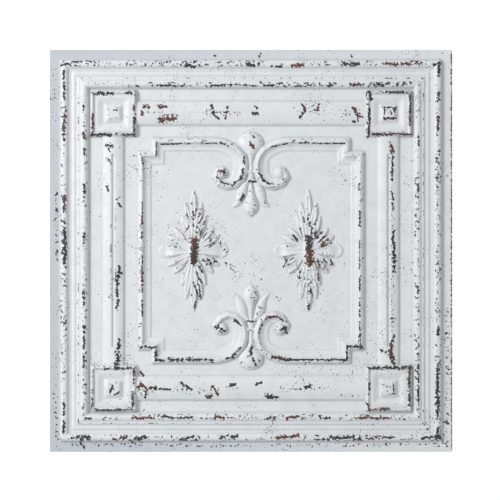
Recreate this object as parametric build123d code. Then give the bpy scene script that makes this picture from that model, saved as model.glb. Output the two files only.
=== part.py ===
from build123d import *
import os
from math import atan2, degrees, hypot, radians, sin

# A lay-in ceiling tile, vacuum formed from one flat plastic sheet and lying face up.
# Its back follows the front at one sheet thickness, so all raised work is hollow behind.
# The origin is the centre of the back, X runs across the face and Y along it.
# Every function that takes an inset makes the front at 0 and the hollow of the back at one sheet thickness.

# Sheet
tile_side = 603.0
sheet = 0.8
below = 4.0

# Rounds are made of straight chords, each this many degrees of an oval
front_chord = 30
back_chord = 45

# Outer moulding, from its foot inward: widths, and heights over the field
moulding_foot = 286.0
draft = 0.8
bead_width = 12.5
bead_height = 8.0
bead_flank = 4.0
bead_shoulder = (2.8, 7.0)
bead_back = (10.5, 7.0)
cove_width = 5.0
cove_height = 2.6
reed_width = 7.0
reed_height = 4.4
reed_fall = 1.0
step_rise = 3.0
step_width = 6.5
step_height = 6.0
inner_bead_width = 12.0
inner_bead_height = 8.6
inner_bead_crest = 5.0
inner_bead_flank = 3.6

# Corner blocks
block_half = 35.0
block_centre = 206.0
block_rim = 9.0
block_rim_width = 6.4
block_flank = (1.4, 7.5)
block_chamfer = 3.0
block_rim_slope = 1.4
block_ledge = 5.6
block_ledge_inner = 22.5
block_valley = 2.0
stud_half = 14.5
stud_top_half = 9.2
stud_height = 7.0

# Bands between the blocks: plain above and below, fluted at the sides
band_width = 37.5
pilaster_width = 33.6
band_height = 6.5
band_shoulder = 3.4
band_shoulder_inset = 2.2
band_overlap = 2.0
flute_width = 7.0
flute_depth = 3.6
flute_half_length = 144.75

# Inner frame: a ridge with a cove on its inner side and notched corners
frame_half = 162.0
frame_outer = 7.8
frame_inner = 12.0
frame_height = 8.0
frame_lip = 1.2
notch = 20.25
frame_end = 52.8

# Scrolls that end the frame at the middle of its top and bottom.
# Sections give how far along, width outside the crest, width inside it, and height.
scroll_path = [
    (-34.0, 157.2),
    (-19.9, 149.4),
    (-11.7, 136.0),
    (-10.7, 119.4),
    (-14.8, 108.0),
    (-31.6, 97.8),
    (-42.4, 101.4),
    (-49.4, 108.0),
    (-51.0, 115.6),
    (-47.4, 122.6),
]
scroll_sections = [
    (0.0, frame_outer, frame_inner, frame_height),
    (0.2, 7.6, 13.2, 8.4),
    (0.42, 7.0, 15.2, 9.0),
    (0.58, 7.0, 15.0, 9.0),
    (0.74, 7.2, 10.6, 8.6),
    (0.85, 8.6, 6.4, 8.0),
    (0.93, 8.2, 5.0, 7.4),
    (1.0, 4.6, 4.0, 6.0),
]
scroll_steps = 12
eye_centre = (-43.4, 116.8)
eye_half_length = 8.8
eye_sections = [(0.0, 3.4, 3.6), (0.2, 7.2, 7.2), (0.5, 8.8, 9.0), (0.8, 7.2, 7.2), (1.0, 3.4, 3.6)]
eye_steps = 6

# Fleur between each pair of scrolls. Sections give how far along, half width and height.
drop_top = 177.8
drop_neck = 138.0
drop_sections = [
    (0.0, 5.0, 3.0),
    (0.1, 13.4, 6.2),
    (0.3, 19.2, 8.6),
    (0.5, 18.6, 9.0),
    (0.7, 12.6, 7.6),
    (0.86, 6.4, 5.8),
    (1.0, 3.8, 4.7),
]
drop_steps = 8
stem_foot = 104.0
stem_sections = [(0.0, 3.8, 4.7), (0.55, 3.8, 4.7), (1.0, 7.0, 5.0)]
stem_steps = 4
collar_centre = 118.0
collar_half = 5.6
collar_width = 5.6
collar_height = 6.2
knot_centre = 104.0
knot_half = 6.4
knot_width = 4.6
knot_height = 7.0
bar_top = 0.6
pendant_tip = 51.6
pendant_sections = [
    (0.0, 2.6, 4.0),
    (0.3, 4.4, 5.4),
    (0.52, 8.8, 7.0),
    (0.7, 11.7, 7.6),
    (0.86, 9.0, 6.4),
    (1.0, 2.2, 2.4),
]
pendant_steps = 8
side_leaf_path = [(-4.6, 104.0), (-12.8, 90.4), (-15.8, 80.0), (-27.0, 65.2)]
side_leaf_sections = [
    (0.0, 2.8, 3.6),
    (0.28, 6.8, 5.4),
    (0.52, 7.4, 5.2),
    (0.78, 4.4, 3.6),
    (1.0, 1.6, 1.6),
]
side_leaf_steps = 6

# Leaf rosettes: each petal's tip, half width, and how far out its two crests lie
rosette_centre = 86.0
petals = [
    (0.0, 91.0, 6.4, 0.55),
    (11.8, 72.2, 6.0, 0.55),
    (17.8, 52.4, 5.6, 0.55),
    (29.6, 34.0, 5.4, 0.55),
    (38.6, 22.2, 5.6, 0.55),
    (51.4, 0.0, 10.2, 0.8),
]
petal_height = 5.8
petal_crease = 1.7
petal_sections = [(0.16, 0.42, 1.0), (0.7, 1.0, 0.94), (0.89, 0.66, 0.7), (1.0, 0.18, 0.4)]
boss_half_length = 19.8
boss_sections = [
    (0.0, 5.0, 4.0),
    (0.12, 9.2, 7.4),
    (0.35, 10.4, 8.4),
    (0.65, 10.4, 8.4),
    (0.88, 9.2, 7.4),
    (1.0, 5.0, 4.0),
]
boss_steps = 6


def drawn_in(face, inset):
    """The same profile lowered by the inset and narrowed by it at both sides, for the sheet's back."""
    if not inset:
        return face
    return (Pos(0, -inset) * face) & (Pos(inset, -inset) * face) & (Pos(-inset, -inset) * face)


def closed(edges):
    """Face between a front curve and a level below the sheet's back."""
    front = Wire(edges)
    first, last = front @ 0, front @ 1
    floor = Polyline((last.X, last.Y), (last.X, -below), (first.X, -below), (first.X, first.Y))
    return make_face([*front.edges(), *floor.edges()])


def line(*points):
    """Straight runs through points given as distance and height over the field's front."""
    high = [(distance, sheet + height) for distance, height in points]
    return list(Polyline(*high).edges()) if len(high) > 2 else [Line(*high).edge()]


def arc(*points):
    """Round run through three points given as distance and height over the field's front."""
    return [ThreePointArc(*[(distance, sheet + height) for distance, height in points]).edge()]


def run(face, half_length):
    """Profile carried along Y, both ways from the middle."""
    return extrude(Plane.XZ * face, half_length, both=True)


def mitred_square(face, reach):
    """Profile carried round a square about the origin, its four sides mitred at the diagonals."""
    corner = Polyline((0, 0), (reach, -reach), (reach, reach), close=True)
    side = run(face, reach) & extrude(make_face(corner), reach, both=True)
    return side + [Rot(0, 0, turn) * side for turn in (90, 180, 270)]


def moulding(inset):
    """Outer moulding: a bead, a cove, a reed, a step and an inner bead, going inward."""
    crest = (moulding_foot - bead_width / 2, bead_height)
    flank = (moulding_foot - draft, bead_flank)
    shoulder = (moulding_foot - bead_shoulder[0], bead_shoulder[1])
    back = (moulding_foot - bead_back[0], bead_back[1])
    bead_end = (moulding_foot - bead_width, bead_flank)
    cove = (bead_end[0] - cove_width, cove_height)
    reed = (cove[0] - reed_width / 2, reed_height)
    reed_end = (cove[0] - reed_width, reed_height - reed_fall)
    step = (reed_end[0] - step_rise, step_height)
    step_end = (reed_end[0] - step_width, step_height)
    inner_crest = (step_end[0] - inner_bead_crest, inner_bead_height)
    inner_foot = step_end[0] - inner_bead_width
    inner_flank = (inner_foot + draft, inner_bead_flank)
    edges = line((moulding_foot, 0), flank) + arc(flank, shoulder, crest) + arc(crest, back, bead_end)
    edges += line(bead_end, cove) + arc(cove, reed, reed_end) + line(reed_end, step, step_end)
    edges += arc(step_end, inner_crest, inner_flank) + line(inner_flank, (inner_foot, 0))
    return mitred_square(drawn_in(closed(edges), inset), tile_side / 2)


def block(inset):
    """Corner block: a square rim, a ledge that dishes inward, and a bevelled stud."""
    rim_in = block_half - block_rim_width
    edges = line(
        (block_half, 0),
        (block_half - block_flank[0], block_flank[1]),
        (block_half - block_chamfer, block_rim),
        (rim_in + block_rim_slope, block_rim),
        (rim_in, block_ledge),
        (block_ledge_inner, block_ledge),
        (stud_half, block_valley),
        (stud_top_half, stud_height),
        (-stud_top_half, stud_height),
    )
    return mitred_square(drawn_in(closed(edges), inset), block_half + below)


def band(width, inset):
    """Band between two blocks: steep feet, then one low arch."""
    half = width / 2
    shoulder = half - band_shoulder_inset
    edges = line((half, 0), (shoulder, band_shoulder))
    edges += arc((shoulder, band_shoulder), (0, band_height), (-shoulder, band_shoulder))
    edges += line((-shoulder, band_shoulder), (-half, 0))
    return run(drawn_in(closed(edges), inset), block_centre - block_half + band_overlap)


def pilaster(inset):
    """Band with a stopped flute down its middle."""
    half = flute_width / 2 + inset
    top = sheet + band_height + 1.0
    bottom = sheet + band_height - flute_depth - inset
    groove = make_face(Polyline((half, top), (0, bottom), (-half, top), close=True))
    return band(pilaster_width, inset) - run(groove, flute_half_length + inset)


def quarter(width, rise, chord):
    """Points of a quarter oval from its foot, a width away from the middle, up to its top."""
    return [(width * sin(radians(90 - a)), rise * sin(radians(a))) for a in range(0, 91, chord)]


def ridge(outer, inward, height, inset):
    """Frame section: a round outer side up to the crest, then a cove that ends in a small lip."""
    round_side = quarter(outer, height, front_chord)[:-1]
    hollow_side = [(x - inward, height - y) for x, y in quarter(inward, height - frame_lip, front_chord)][1:]
    points = [(x - inset, y - inset) for x, y in round_side]
    points.append((0.5 * inset, height - 1.6 * inset))
    points += [(x + inset, y - inset) for x, y in hollow_side]
    return closed(line(*points, (inset - inward, -inset)))


def frame_half_path():
    """Crest line of the left half of the frame, from its top end to its bottom end."""
    corner = frame_half - notch
    upper = [(-frame_end, frame_half), (-corner, frame_half), (-corner, corner), (-frame_half, corner)]
    return upper + [(x, -y) for x, y in reversed(upper)]


def frame(inset):
    """Left half of the frame, mitred at its notched corners."""
    start = Plane(origin=(-frame_end, frame_half, 0), x_dir=(0, 1, 0), z_dir=(1, 0, 0))
    section = start * ridge(frame_outer, frame_inner, frame_height, inset)
    return sweep(section, path=Polyline(*frame_half_path()), transition=Transition.RIGHT)


def smooth_rows(table, steps):
    """Even steps along a table whose first column runs from 0 to 1, on smooth curves through its rows."""
    slopes = []
    for i in range(len(table)):
        before, after = table[max(i - 1, 0)], table[min(i + 1, len(table) - 1)]
        slopes.append([(b - a) / (after[0] - before[0]) for a, b in zip(before, after)])
    rows = []
    for step in range(steps + 1):
        f = step / steps
        i = max(k for k in range(len(table) - 1) if table[k][0] <= f)
        gap = table[i + 1][0] - table[i][0]
        t = (f - table[i][0]) / gap
        row = [f]
        for a, b, sa, sb in list(zip(table[i], table[i + 1], slopes[i], slopes[i + 1]))[1:]:
            ends = (2 * t**3 - 3 * t**2 + 1) * a + (3 * t**2 - 2 * t**3) * b
            row.append(ends + gap * ((t**3 - 2 * t**2 + t) * sa + (t**3 - t**2) * sb))
        rows.append(row)
    return rows


def across(spine, fraction):
    """Plane across a spine, with its X to the left of the spine and its Y up."""
    point, way = spine @ fraction, spine % fraction
    return Plane(origin=(point.X, point.Y, 0), x_dir=(-way.Y, way.X, 0), z_dir=(way.X, way.Y, 0))


def scroll(inset):
    """Top left scroll: the frame's ridge curls round, widens its cove and wraps a round eye."""
    spine = Spline((-frame_end, frame_half), *scroll_path, tangents=[(1, 0), (0.8, 1)])
    rows = smooth_rows(scroll_sections, scroll_steps)
    curl = loft([across(spine, f) * ridge(o, n, h, inset) for f, o, n, h in rows], ruled=True)
    eye = leaf([(0, -eye_half_length), (0, eye_half_length)], eye_sections, eye_steps, inset)
    return curl + Pos(*eye_centre) * eye


def mirrored(points):
    """Points from one foot up to the middle, carried on down to the other foot."""
    return points + [(-x, y) for x, y in reversed(points) if x]


def dome(half, height, inset):
    """Round section of a leaf, drop or bud."""
    side = quarter(half - inset, height, back_chord if inset else front_chord)
    return closed(line(*mirrored([(x, y - inset) for x, y in side])))


def leaf(points, sections, steps, inset):
    """Rounded leaf along a spine; the hollow behind a straight one takes half the steps."""
    straight = len(points) == 2
    spine = Line(*points) if straight else Spline(*points)
    rows = smooth_rows(sections, steps // 2 if inset and straight else steps)
    return loft([across(spine, f) * dome(half, height, inset) for f, half, height in rows], ruled=True)


def bar(y, half, width, height, inset):
    """Low bevelled bar across the stem."""
    w = width / 2 - inset
    edges = line(*mirrored([(w, -inset), (bar_top * w, height - inset), (0, height - inset)]))
    return Pos(0, y) * Rot(0, 0, 90) * run(closed(edges), half - inset)


def fleur(inset):
    """Top fleur: a round drop on a stem, a collar, a knot, a pendant bud and two side leaves."""
    side = leaf(side_leaf_path, side_leaf_sections, side_leaf_steps, inset)
    return (
        leaf([(0, drop_top), (0, drop_neck)], drop_sections, drop_steps, inset)
        + leaf([(0, drop_neck), (0, stem_foot)], stem_sections, stem_steps, inset)
        + leaf([(0, knot_centre), (0, pendant_tip)], pendant_sections, pendant_steps, inset)
        + bar(collar_centre, collar_half, collar_width, collar_height, inset)
        + bar(knot_centre, knot_half, knot_width, knot_height, inset)
        + side
        + mirror(side, Plane.YZ)
    )


def petal(x, y, wide, crest, inset):
    """Petal from the rosette's middle out to its tip, creased down its length, with a plainer hollow behind."""
    reach = hypot(x, y)
    sections = []
    for along, share, rise in petal_sections:
        half = wide * share - 0.7 * inset
        top = petal_height * rise
        creased = top - petal_crease * rise
        side = [(half, 0), (crest * half, top), (0, creased)]
        if inset:
            side = [(half, -inset), (crest * half, creased - inset)]
        face = closed(line(*mirrored(side)))
        sections.append(Plane(origin=(along * reach, 0, 0), x_dir=(0, 1, 0), z_dir=(1, 0, 0)) * face)
    return Rot(0, 0, degrees(atan2(y, x))) * loft(sections, ruled=True)


def rosette(inset):
    """Leaf rosette: petals in four mirrored quarters round a long boss."""
    places = {(sx * x, sy * y, wide, crest) for x, y, wide, crest in petals for sx in (1, -1) for sy in (1, -1)}
    boss = leaf([(0, -boss_half_length), (0, boss_half_length)], boss_sections, boss_steps, inset)
    return boss + [petal(*place, inset) for place in sorted(places)]


def relief(inset):
    """All raised work, solid down past the sheet's back."""
    pieces = [moulding(inset)]
    one_block = block(inset)
    for sx in (1, -1):
        pieces += [Pos(sx * block_centre, sy * block_centre) * one_block for sy in (1, -1)]
    one_band = band(band_width, inset)
    one_pilaster = pilaster(inset)
    for s in (1, -1):
        pieces.append(Pos(0, s * block_centre) * Rot(0, 0, 90) * one_band)
        pieces.append(Pos(s * block_centre, 0) * one_pilaster)
    one_frame = frame(inset)
    one_scroll = scroll(inset)
    upper = [one_frame, one_scroll, mirror(one_scroll, Plane.YZ), fleur(inset)]
    pieces += upper + [Rot(0, 0, 180) * piece for piece in upper]
    one_rosette = rosette(inset)
    pieces += [Pos(s * rosette_centre, 0) * one_rosette for s in (1, -1)]
    return pieces


corner = (Align.CENTER, Align.CENTER, Align.MIN)
field = Box(tile_side, tile_side, sheet, align=corner)
above = Box(2 * tile_side, 2 * tile_side, tile_side, align=corner)
tile_sheet = (field.fuse(*relief(0)) & above).cut(*relief(sheet))

os.makedirs("parts", exist_ok=True)
export_step(tile_sheet, "parts/tile_sheet.step")
print("tile_sheet", len(tile_sheet.solids()), "solid,", round(tile_sheet.volume), "mm3")
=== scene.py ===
# %% [markdown]
# # A formed ceiling tile in chipped white paint
#
# The object is one thin plastic sheet. It was heated, sucked down over a mould that
# imitates pressed tin, painted off-white and rubbed back, so dark and rusty paint
# shows along its highest edges. Lengths are metres.

import bpy
import numpy as np
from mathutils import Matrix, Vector
from mathutils.bvhtree import BVHTree


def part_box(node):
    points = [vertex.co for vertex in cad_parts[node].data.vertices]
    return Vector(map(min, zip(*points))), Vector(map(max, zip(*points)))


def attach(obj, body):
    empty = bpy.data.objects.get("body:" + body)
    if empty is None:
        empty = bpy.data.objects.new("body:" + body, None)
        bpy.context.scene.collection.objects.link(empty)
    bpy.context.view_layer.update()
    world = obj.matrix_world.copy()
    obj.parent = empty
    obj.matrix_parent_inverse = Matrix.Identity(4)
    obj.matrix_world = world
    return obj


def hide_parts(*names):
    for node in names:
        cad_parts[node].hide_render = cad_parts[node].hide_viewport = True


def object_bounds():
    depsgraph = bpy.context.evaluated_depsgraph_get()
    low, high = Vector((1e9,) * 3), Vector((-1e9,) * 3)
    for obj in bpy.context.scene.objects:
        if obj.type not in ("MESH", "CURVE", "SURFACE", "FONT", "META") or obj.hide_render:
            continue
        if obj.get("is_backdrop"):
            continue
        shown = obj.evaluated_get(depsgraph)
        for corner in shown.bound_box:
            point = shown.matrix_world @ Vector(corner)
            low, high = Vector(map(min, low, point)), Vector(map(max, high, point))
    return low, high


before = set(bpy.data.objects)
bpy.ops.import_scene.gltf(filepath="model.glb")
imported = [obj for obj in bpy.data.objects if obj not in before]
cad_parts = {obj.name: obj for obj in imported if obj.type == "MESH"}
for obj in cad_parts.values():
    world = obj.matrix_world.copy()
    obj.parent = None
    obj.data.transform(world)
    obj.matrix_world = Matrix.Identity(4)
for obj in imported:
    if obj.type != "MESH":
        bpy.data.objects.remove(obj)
cad_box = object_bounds()
MM = 0.001
tile_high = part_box("tile_sheet")[1]
half_side = tile_high.x
print("tile", round(2 * half_side, 4), "m wide,", round(tile_high.z, 4), "m high")

# %% [markdown]
# ## A net draped over the mould
#
# A formed sheet has no sharp corners: it bridges every crease with a small radius.
# Bevels on a boolean solid would be one way to get them, but they break down where
# petals and scrolls cross. So we do what the hot sheet does: a fine net is let down
# on the solid, each knot stopping where it touches. The outermost knots are dropped
# a hair inside the rim, so that none misses the solid. For now the net is only a
# table of heights, which is quick to reckon with. It becomes a mesh further down.

# %% Let the net down on the solid
SHEET = 0.8 * MM
NET_STEP = 0.8 * MM
DROP_FROM = 0.05
INSIDE_RIM = 0.05 * MM
knots = int(round(2 * half_side / NET_STEP)) + 1
line = np.linspace(-half_side, half_side, knots)
xs, ys = np.meshgrid(line, line)

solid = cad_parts["tile_sheet"]
mould = BVHTree.FromObject(solid, bpy.context.evaluated_depsgraph_get())
down = Vector((0, 0, -1))
above_solid = np.clip(line, -half_side + INSIDE_RIM, half_side - INSIDE_RIM)
height = np.full((knots, knots), SHEET)
for row, y in enumerate(above_solid):
    for column, x in enumerate(above_solid):
        hit = mould.ray_cast(Vector((x, y, DROP_FROM)), down)[0]
        if hit is not None:
            height[row, column] = hit.z
print("net of", knots, "by", knots, "knots, highest", round(height.max() / MM, 2), "mm")

# %% [markdown]
# ## Spoon-shaped end petals
#
# The two level petals of each rosette end in a round, shallow spoon, where the
# solid has pointed ones. They could be sculpted, but a spoon is a bowl with a rolled
# rim, so one formula in the distance from its middle gives all four alike. The high
# power keeps the rim steep, and towards the boss the spoon melts into the petal.

# %% Shape the spoons on the net
ROSETTE_AT = 86.1 * MM
SPOON_OUT = 41.3 * MM
SPOON_RADIUS = 10.6 * MM
SPOON_RISE = 2.5 * MM
BOWL_FLOOR, BOWL_FLARE, RIM_POWER = 0.55, 0.6, 6
MELT_FROM = 0.9
for side in (-1, 1):
    for end in (-1, 1):
        outward = (xs - side * ROSETTE_AT) * end - SPOON_OUT
        from_middle = np.hypot(outward / SPOON_RADIUS, ys / SPOON_RADIUS).clip(0, 1)
        bowl = BOWL_FLOOR + BOWL_FLARE * from_middle**2
        spoon = SHEET + SPOON_RISE * (np.sqrt(1 - from_middle**RIM_POWER) * bowl)
        share = (MELT_FROM + outward / SPOON_RADIUS).clip(0, 1) * (from_middle < 1)
        height = height + (spoon - height) * share
print("four spoons", round(2 * SPOON_RADIUS / MM, 1), "mm wide")

# %% [markdown]
# ## Relaxing the net
#
# The solid's creases are still sharp on the net. Blender's Smooth modifier would
# round them, but by an amount that changes with the net's step. Blurring the heights
# by a bell curve gives every crease one radius in millimetres, about the sheet's own
# thickness. The dishes of the four corner blocks are softer than anything else on
# the real tile, so they get a wider bell, with a narrow belt where the two blend.

# %% Relax the creases
FORMING_RADIUS = 0.6 * MM
BELL_ENDS = 3
BOX_GAP = 0.02 * MM


def softened(field, radius):
    """The field blurred by a bell curve of that radius, in metres."""
    spread = radius / NET_STEP
    reach = int(np.ceil(BELL_ENDS * spread))
    bell = np.exp(-0.5 * (np.arange(-reach, reach + 1) / spread) ** 2)
    bell /= bell.sum()
    for axis in (0, 1):
        margins = [(0, 0), (0, 0)]
        margins[axis] = (reach, reach)
        padded = np.pad(field, margins, "edge")
        field = np.apply_along_axis(np.convolve, axis, padded, bell, "valid")
    return field


skin = np.minimum(softened(height, FORMING_RADIUS), tile_high.z - BOX_GAP)
skin = np.maximum(skin, SHEET)
print("creases relaxed by", FORMING_RADIUS / MM, "mm")

# %% Relax the dished blocks more
BLOCK_AT = 206 * MM
DISH_HALF, DISH_BELT = 23 * MM, 2 * MM
DISH_RADIUS = 1.5 * MM
to_block = np.maximum(np.abs(np.abs(xs) - BLOCK_AT), np.abs(np.abs(ys) - BLOCK_AT))
in_dish = ((DISH_HALF - to_block) / DISH_BELT).clip(0, 1)
skin = skin + (softened(height, DISH_RADIUS) - skin) * in_dish
print("dished blocks relaxed by", DISH_RADIUS / MM, "mm")

# %% [markdown]
# ## Where the paint wears and where shade is painted in
#
# The tile is sold ready aged: cool white over a dark base, rubbed back so that the
# base shows. Rubbing takes the white off what stands proud, and what lies deep is
# greyed with painted shade. Both could be painted on by hand, for days. But how proud
# or deep a spot is can be read from the net: its height against the mean height a
# few millimetres round it. Kept as numbers from 0 to 1, they let wear and painted
# shade follow the relief by themselves.

# %% Measure how proud each spot stands
PROUD_REACH = 3.2 * MM
PROUD_FULL = 1.4 * MM
proud = ((skin - softened(skin, PROUD_REACH)) / PROUD_FULL).clip(0, 1)
print("proud ground covers", round(100 * float((proud > 0.5).mean()), 1), "% of the sheet")

# %% Measure how deep each spot lies
HOLLOW_REACH = 1.5 * MM
HOLLOW_FULL = 0.4 * MM
HOLLOW_FROM = 0.1
hollow = ((softened(skin, HOLLOW_REACH) - skin) / HOLLOW_FULL - HOLLOW_FROM).clip(0, 1)
print("hollow ground covers", round(100 * float((hollow > 0.5).mean()), 1), "% of the sheet")
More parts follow.
